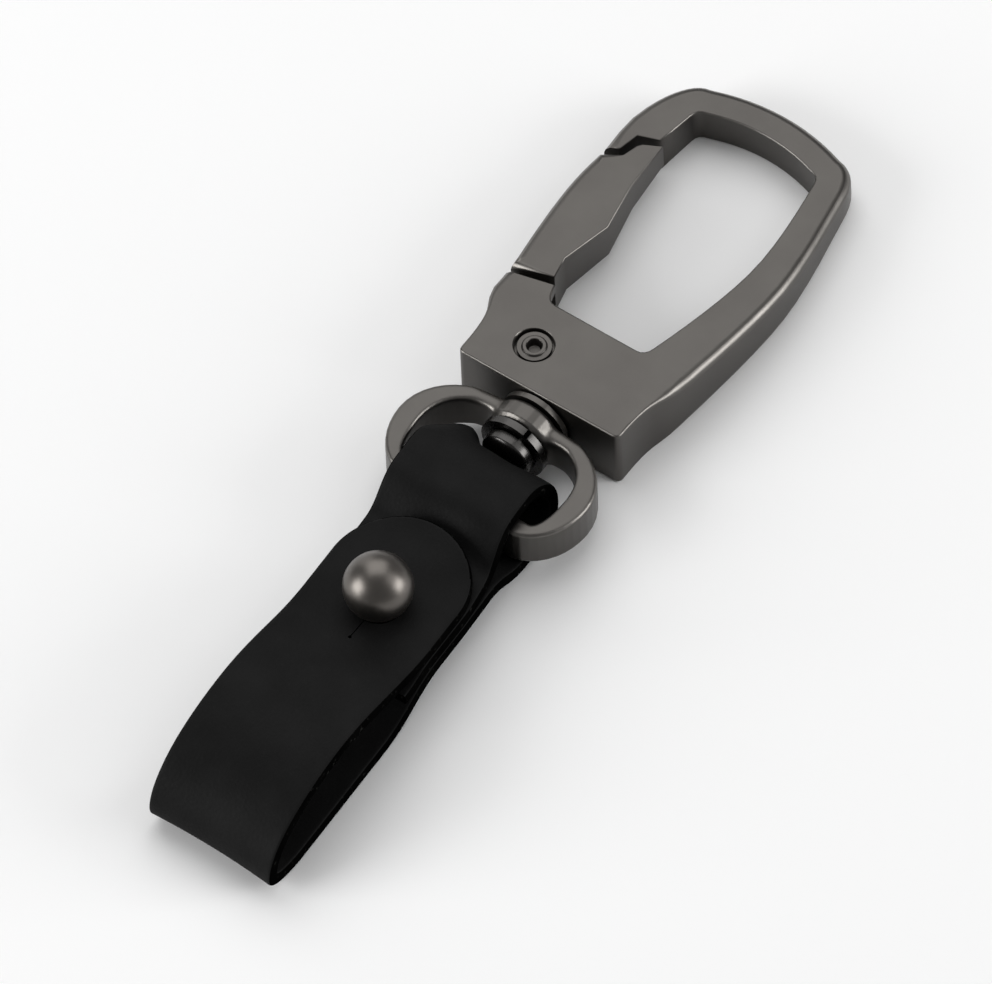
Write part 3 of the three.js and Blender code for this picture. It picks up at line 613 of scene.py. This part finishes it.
def joined(parts):
    return np.vstack([parts[0], *[part[1:] for part in parts[1:]]])


def distance_along(points):
    gaps = np.linalg.norm(np.diff(points, axis=0), axis=1)
    return np.concatenate([[0], np.cumsum(gaps)])


def points_at(points, marks):
    """Points of a line at given distances along it."""
    along = distance_along(points)
    return np.column_stack([np.interp(marks, along, points[:, k]) for k in (0, 1)])


def even_marks(start, end, step):
    return np.linspace(start, end, round((end - start) / step) + 1)


def normals_of(route):
    run = np.gradient(route, axis=0)
    run /= np.linalg.norm(run, axis=1)[:, None]
    return np.column_stack([-run[:, 1], run[:, 0]])


def band_nodes():
    """Node tree that sweeps a flat strip of leather along a route of points."""
    tree = bpy.data.node_groups.new("leather_band", "GeometryNodeTree")
    tree.interface.new_socket("Geometry", in_out="INPUT", socket_type="NodeSocketGeometry")
    named = {}
    for label in ("Strip width", "Strip thickness", "Strip step"):
        socket = tree.interface.new_socket(label, in_out="INPUT", socket_type="NodeSocketFloat")
        named[label] = socket.identifier
    tree.interface.new_socket("Geometry", in_out="OUTPUT", socket_type="NodeSocketGeometry")
    nodes = tree.nodes
    link = tree.links.new
    given = nodes.new("NodeGroupInput")
    route = nodes.new("GeometryNodeMeshToCurve")
    strip = nodes.new("GeometryNodeCurvePrimitiveQuadrilateral")
    steps = nodes.new("GeometryNodeResampleCurve")
    sweep = nodes.new("GeometryNodeCurveToMesh")
    real = nodes.new("GeometryNodeRealizeInstances")
    dressed = nodes.new("GeometryNodeSetMaterial")
    result = nodes.new("NodeGroupOutput")
    steps.mode = "LENGTH"
    sweep.inputs["Fill Caps"].default_value = True
    dressed.inputs["Material"].default_value = grain_leather
    link(given.outputs["Geometry"], route.inputs["Mesh"])
    link(given.outputs["Strip width"], strip.inputs["Width"])
    link(given.outputs["Strip thickness"], strip.inputs["Height"])
    link(strip.outputs["Curve"], steps.inputs["Curve"])
    link(given.outputs["Strip step"], steps.inputs["Length"])
    link(route.outputs["Curve"], sweep.inputs["Curve"])
    link(steps.outputs["Curve"], sweep.inputs["Profile Curve"])
    link(sweep.outputs["Mesh"], real.inputs["Geometry"])
    link(real.outputs["Geometry"], dressed.inputs["Geometry"])
    link(dressed.outputs["Geometry"], result.inputs["Geometry"])
    return tree, named


band_tree, band_inputs = band_nodes()


def swept_strip(name, route):
    """Flat strip of leather along a route, as a plain mesh."""
    path = bpy.data.meshes.new(name)
    spots = [(0, y * MM, z * MM) for y, z in route]
    path.from_pydata(spots, [(i, i + 1) for i in range(len(spots) - 1)], [])
    piece = show(name, path, [])
    sweep = piece.modifiers.new("leather_band", "NODES")
    sweep.node_group = band_tree
    sweep[band_inputs["Strip width"]] = STRAP_WIDTH * MM
    sweep[band_inputs["Strip thickness"]] = STRAP_THICKNESS * MM
    sweep[band_inputs["Strip step"]] = LEATHER_STEP * MM
    piece.data = finished_mesh(piece)
    return piece


def shape_leather(piece, route, normals, half_width_at, rim_distance, warp, settle):
    """Gives a swept strip its plan, its rounded rims, its waves, its set and the loop's uneven fold."""
    mesh = piece.data
    count = len(mesh.vertices)
    spots = np.empty(count * 3)
    mesh.vertices.foreach_get("co", spots)
    spots = spots.reshape(len(route), -1, 3) / MM
    middle_y = route[:, 0][:, None]
    middle_z = route[:, 1][:, None]
    normal_y = normals[:, 0][:, None]
    normal_z = normals[:, 1][:, None]
    across = spots[:, :, 0] / (STRAP_WIDTH / 2)
    off_y = spots[:, :, 1] - middle_y
    off_z = spots[:, :, 2] - middle_z
    depth = np.copysign(np.hypot(off_y, off_z), off_y * normal_y + off_z * normal_z)
    across = np.clip(across, -1, 1)
    across = across * (1.5 - 0.5 * across**2)
    x = across * half_width_at(middle_y)
    inside = np.clip(rim_distance(x, middle_y) / RIM_ROUNDING, 0, 1)
    fullness = RIM_SHARE + (1 - RIM_SHARE) * np.sqrt(1 - (1 - inside) ** 2)
    depth = depth * fullness + warp(x, middle_y)
    y = middle_y + normal_y * depth
    z = np.maximum(middle_z + normal_z * depth, 0.0)
    skew = smooth_step(-y, -LOOP_APEX_Y - LOOP_UPPER_RUN, -LOOP_APEX_Y)
    to_edge = x / (STRAP_WIDTH / 2)
    y = y + skew * (LOOP_DRAW * (1 - to_edge**2) - LOOP_SKEW * to_edge)
    shift_x, shift_y = settle(x, middle_y)
    placed = np.stack([x + shift_x, y + shift_y, z], axis=2).reshape(-1) * MM
    mesh.vertices.foreach_set("co", placed)
    # Faces near the cut edges take the darker cut-edge finish, painted shade over the rounded rims
    edge = (rim_distance(x, middle_y) < RIM_PAINTED_SHADE).reshape(-1)
    mesh.materials.append(cut_edge_and_rim_shade)
    for face in mesh.polygons:
        if len(face.vertices) > 4 or all(edge[v] for v in face.vertices):
            face.material_index = 1
    mesh.transform(strap_place)
    mesh.update()


def strap_half_width(y):
    share = smooth_step(y, FLAP_END_Y - STRAP_WIDTH / 2, 0)
    return (STRAP_WIDTH + (STRAP_RING_WIDTH - STRAP_WIDTH) * share) / 2


def strap_rim(x, y):
    return strap_half_width(y) - np.abs(x)


def flap_half_width(y):
    half = STRAP_WIDTH / 2
    beyond = np.clip(y - (FLAP_END_Y - half), 0, half * 0.99999)
    return np.sqrt(half**2 - beyond**2)


def flap_rim(x, y):
    half = STRAP_WIDTH / 2
    beyond = np.clip(y - (FLAP_END_Y - half), 0, None)
    return half - np.hypot(x, beyond)


def strap_warp(x, y):
    """Slight unevenness of the leather where it is free, towards the ring."""
    free = smooth_step(y, PINCH_START - 2, PINCH_START + 4)
    return WAVE * free * (np.sin(0.55 * x + 0.4 * y) + 0.6 * np.sin(0.9 * x - 0.7 * y + 1.2))


def flap_warp(x, y):
    """Slight unevenness of the leather on the loop, none at its apex."""
    free = smooth_step(y, LOOP_APEX_Y, LOOP_APEX_Y + 8) * (1 - smooth_step(y, PINCH_END - 6, PINCH_END))
    return WAVE * free * (np.sin(0.3 * x + 0.24 * y) + 0.6 * np.sin(0.5 * x - 0.33 * y + 0.8))


def strap_settle(x, y, turn):
    """At the ring the leather lies askew, bulges beside the pin's head and draws back at its corner.

    turn runs from 0 on the front leg, round the fold, to 1 on the back leg."""
    at_ring = smooth_step(y, PINCH_START - 6, 1)
    at_fold = smooth_step(y, FOLD_SLACK - 1.5, FOLD_SLACK + FOLD_RADIUS)
    reach = np.where(x > FOLD_BULGE_X, FOLD_BULGE_REACH_TO_PIN, FOLD_BULGE_REACH)
    bulge = FOLD_BULGE * np.exp(-(((x - FOLD_BULGE_X) / reach) ** 2))
    corner = FOLD_CORNER_DRAW * smooth_step(-x, 6, STRAP_RING_WIDTH / 2)
    sideways = FRONT_LEG_SHIFT + (BACK_LEG_SHIFT - FRONT_LEG_SHIFT) * turn
    return sideways * at_ring * np.ones_like(x), (bulge - corner) * at_fold


def flap_settle(x, y):
    """The loop lies straight."""
    return 0, 0


def close_leather(piece):
    bpy.context.view_layer.update()
    work = bmesh.new()
    work.from_mesh(piece.data)
    bmesh.ops.recalc_face_normals(work, faces=work.faces)
    work.to_mesh(piece.data)
    work.free()
    piece.data.shade_smooth()
    piece.data.set_sharp_from_angle(angle=math.radians(40))


def cut_away(piece, mesh, name):
    """Takes the form of a mesh out of a piece, the cut faces showing raw leather."""
    cutter = show(name, mesh, [cut_edge_and_rim_shade])
    cut = piece.modifiers.new(name, "BOOLEAN")
    cut.operation = "DIFFERENCE"
    cut.solver = "EXACT"
    cut.material_mode = "TRANSFER"
    cut.object = cutter
    piece.data = finished_mesh(piece)
    bpy.data.objects.remove(cutter)


upper_middle_y = LOOP_APEX_Y + LOOP_UPPER_RUN
lower_middle_y = LOOP_APEX_Y + LOOP_LOWER_RUN
upper_rise = LOOP_TOP - LOOP_APEX_HEIGHT
half_leather = STRAP_THICKNESS / 2
leg_top = BAR_HEIGHT + FOLD_RADIUS
leg_bottom = BAR_HEIGHT - FOLD_RADIUS


def strap_route():
    """The strap's middle line from its end at the stud, round the ring's bar, to the loop's apex."""
    whole = joined([
        bend(STRAP_END_Y, FRONT_LAYER - STRAP_END_SAG, PINCH_END, FRONT_LAYER, END_PULL),
        line(PINCH_END, FRONT_LAYER, PINCH_START, FRONT_LAYER),
        bend(PINCH_START, FRONT_LAYER, -LEG_DROP_START, leg_top, LEG_PULL),
        line(-LEG_DROP_START, leg_top, FOLD_SLACK, leg_top),
        arc(FOLD_SLACK, BAR_HEIGHT, FOLD_RADIUS, FOLD_RADIUS, 90, -90),
        line(FOLD_SLACK, leg_bottom, -LEG_DROP_START, leg_bottom),
        bend(-LEG_DROP_START, leg_bottom, PINCH_START, BACK_LAYER, LEG_PULL),
        line(PINCH_START, BACK_LAYER, BACK_BEND_START, BACK_LAYER),
        bend(BACK_BEND_START, BACK_LAYER, TABLE_START, half_leather, LEG_PULL),
        line(TABLE_START, half_leather, lower_middle_y, half_leather),
        arc(lower_middle_y, LOOP_APEX_HEIGHT, LOOP_LOWER_RUN, LOOP_APEX_HEIGHT - half_leather, 270, 180),
    ])
    end = distance_along(whole)[-1]
    apex_start = end - APEX_LENGTH
    marks = np.concatenate([
        even_marks(0, apex_start, LEATHER_STEP)[:-1],
        even_marks(apex_start, end, APEX_STEP),
    ])
    return points_at(whole, marks), marks


def flap_route():
    """The flap's middle line from the loop's apex to its round end, with close steps at both."""
    lift_start = FLAP_END_Y - FLAP_LIFT_LENGTH
    whole = joined([
        arc(upper_middle_y, LOOP_APEX_HEIGHT, LOOP_UPPER_RUN, upper_rise, 180, 90),
        bend(upper_middle_y, LOOP_TOP, PINCH_END, FLAP_LAYER, LOOP_PULL),
        line(PINCH_END, FLAP_LAYER, lift_start, FLAP_LAYER),
        lift(lift_start, FLAP_LAYER, FLAP_END_Y, FLAP_LAYER + FLAP_LIFT),
    ])
    end = distance_along(whole)[-1]
    round_start = end - STRAP_WIDTH / 2
    marks = np.concatenate([
        even_marks(0, APEX_LENGTH, APEX_STEP)[:-1],
        even_marks(APEX_LENGTH, round_start, LEATHER_STEP)[:-1],
        round_start + (end - round_start) * np.sin(np.linspace(0, math.pi / 2, 48)),
    ])
    return points_at(whole, marks)


strap_line, strap_marks = strap_route()
flap_line = flap_route()
leather_normals = normals_of(np.vstack([strap_line, flap_line[1:]]))
strap_normals = leather_normals[: len(strap_line)]
flap_normals = leather_normals[len(strap_line) - 1 :]


def strap_leather():
    apex = strap_marks[np.argmax(strap_line[:, 0])]
    quarter = FOLD_RADIUS * math.pi / 2
    turn = smooth_step(strap_marks, apex - quarter, apex + quarter)[:, None]
    piece = swept_strip("strap_leather", strap_line)

    def settle(x, y):
        return strap_settle(x, y, turn)

    shape_leather(piece, strap_line, strap_normals, strap_half_width, strap_rim, strap_warp, settle)
    close_leather(piece)
    stand_for(piece, "strap", "strap")


def flap_leather():
    piece = swept_strip("flap_leather", flap_line)
    shape_leather(piece, flap_line, flap_normals, flap_half_width, flap_rim, flap_warp, flap_settle)
    close_leather(piece)
    stud = strap_place @ Matrix.Translation((0, STUD_Y * MM, 0))
    seat = BALL_RADIUS + SEAT_GAP
    ball = [tuple(p) for p in arc(0, BALL_HEIGHT, seat, seat, -90, 90, 48)]
    ball[0] = (0, ball[0][1])
    ball[-1] = (0, ball[-1][1])
    neck = NECK_RADIUS + SEAT_GAP
    hole = [(0, FRONT_LAYER), (neck, FRONT_LAYER), (neck, BALL_HEIGHT), (0, BALL_HEIGHT)]
    cut_away(piece, turned_mesh("ball_seat", ball, stud, 64), "ball_seat")
    cut_away(piece, turned_mesh("neck_hole", hole, stud, 48), "neck_hole")
    slit = bmesh.new()
    bmesh.ops.create_cube(slit, size=1)
    slit_mesh = bpy.data.meshes.new("slit")
    slit.to_mesh(slit_mesh)
    slit.free()
    stretch = Matrix.Diagonal((SLIT_WIDTH * MM, SLIT_REACH * MM, 3 * STRAP_THICKNESS * MM, 1))
    slit_mesh.transform(stud @ Matrix.Translation((0, -SLIT_REACH / 2 * MM, FLAP_LAYER * MM)) @ stretch)
    cut_away(piece, slit_mesh, "slit")
    end_low, end_high = FRONT_LAYER, BALL_HEIGHT
    end_hole = [(0, end_low), (SLIT_END_RADIUS, end_low), (SLIT_END_RADIUS, end_high), (0, end_high)]
    slit_end = stud @ Matrix.Translation((0, -SLIT_REACH * MM, 0))
    cut_away(piece, turned_mesh("slit_end", end_hole, slit_end, 24), "slit_end")
    piece.data.shade_smooth()
    piece.data.set_sharp_from_angle(angle=math.radians(40))
    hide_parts("strap_flap")
    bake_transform(piece)


strap_leather()
flap_leather()


# Table, light and camera


def pale_table():
    paint, nodes, links, shader = node_material("pale_table")
    shade = noise(nodes, links, nodes.new("ShaderNodeTexCoord"), 3)
    pale = ramp(nodes, links, shade.outputs["Fac"], (0.9, 0.9, 0.9), (0.92, 0.92, 0.92))
    links.new(pale.outputs["Color"], shader.inputs["Base Color"])
    shader.inputs["Roughness"].default_value = 0.9
    shader.inputs["Specular IOR Level"].default_value = 0.1
    top = -TABLE_DROP * MM
    sides = ((-1, -1), (1, -1), (1, 1), (-1, 1))
    mesh = bpy.data.meshes.new("table")
    mesh.from_pydata([(TABLE_REACH * x, TABLE_REACH * y, top) for x, y in sides], [], [(0, 1, 2, 3)])
    table = show("table", mesh, [paint])


def soft_box(name, spot, width, height, power):
    """Rectangular lamp that faces the keychain."""
    light = bpy.data.lights.new(name, "AREA")
    light.shape = "RECTANGLE"
    light.size = width
    light.size_y = height
    light.energy = power
    lamp = bpy.data.objects.new(name, light)
    lamp.location = spot
    lamp.rotation_mode = "QUATERNION"
    lamp.rotation_quaternion = (-Vector(spot)).to_track_quat("-Z", "Y")
    bpy.context.scene.collection.objects.link(lamp)


def studio_world():
    world = bpy.data.worlds.new("studio")
    world.use_nodes = True
    glow = world.node_tree.nodes["Background"]
    glow.inputs["Color"].default_value = (1, 1, 1, 1)
    glow.inputs["Strength"].default_value = 0.24
    bpy.context.scene.world = world


def photo_camera():
    """Camera at the photo's angle, far enough away to show next to no perspective."""
    film = bpy.data.cameras.new("camera")
    film.sensor_width = CAMERA_FILM
    film.lens = CAMERA_FILM * CAMERA_DISTANCE / (VIEW_WIDTH * MM)
    film.clip_end = 4 * CAMERA_DISTANCE
    camera = bpy.data.objects.new("camera", film)
    bpy.context.scene.collection.objects.link(camera)
    look = Matrix((
        (0.8192, -0.4581, 0.3452),
        (0.5712, 0.7057, -0.4190),
        (-0.0517, 0.5404, 0.8397),
    )).to_4x4()
    aim = Vector((-1.645 * MM, bar[1] + 9.567 * MM, -3.497 * MM))
    camera.matrix_world = Matrix.Translation(aim + look.col[2].to_3d() * CAMERA_DISTANCE) @ look
    bpy.context.scene.camera = camera


pale_table()
soft_box("soft_box_left", (-0.52, -0.61, 0.29), 0.48, 0.5, 5.0)
soft_box("soft_box_right", (0.76, 0.37, 0.25), 0.46, 0.44, 4.2)
soft_box("soft_box_above", (-0.34, 0.42, 0.9), 1.05, 1.05, 6.2)
soft_box("soft_box_fill", (0.58, 0.34, 0.72), 0.6, 0.5, 1.0)
soft_box("soft_box_back", (-0.75, 0.4, 0.25), 0.5, 0.45, 0.6)
studio_world()
photo_camera()
bpy.context.scene.view_settings.view_transform = "Standard"
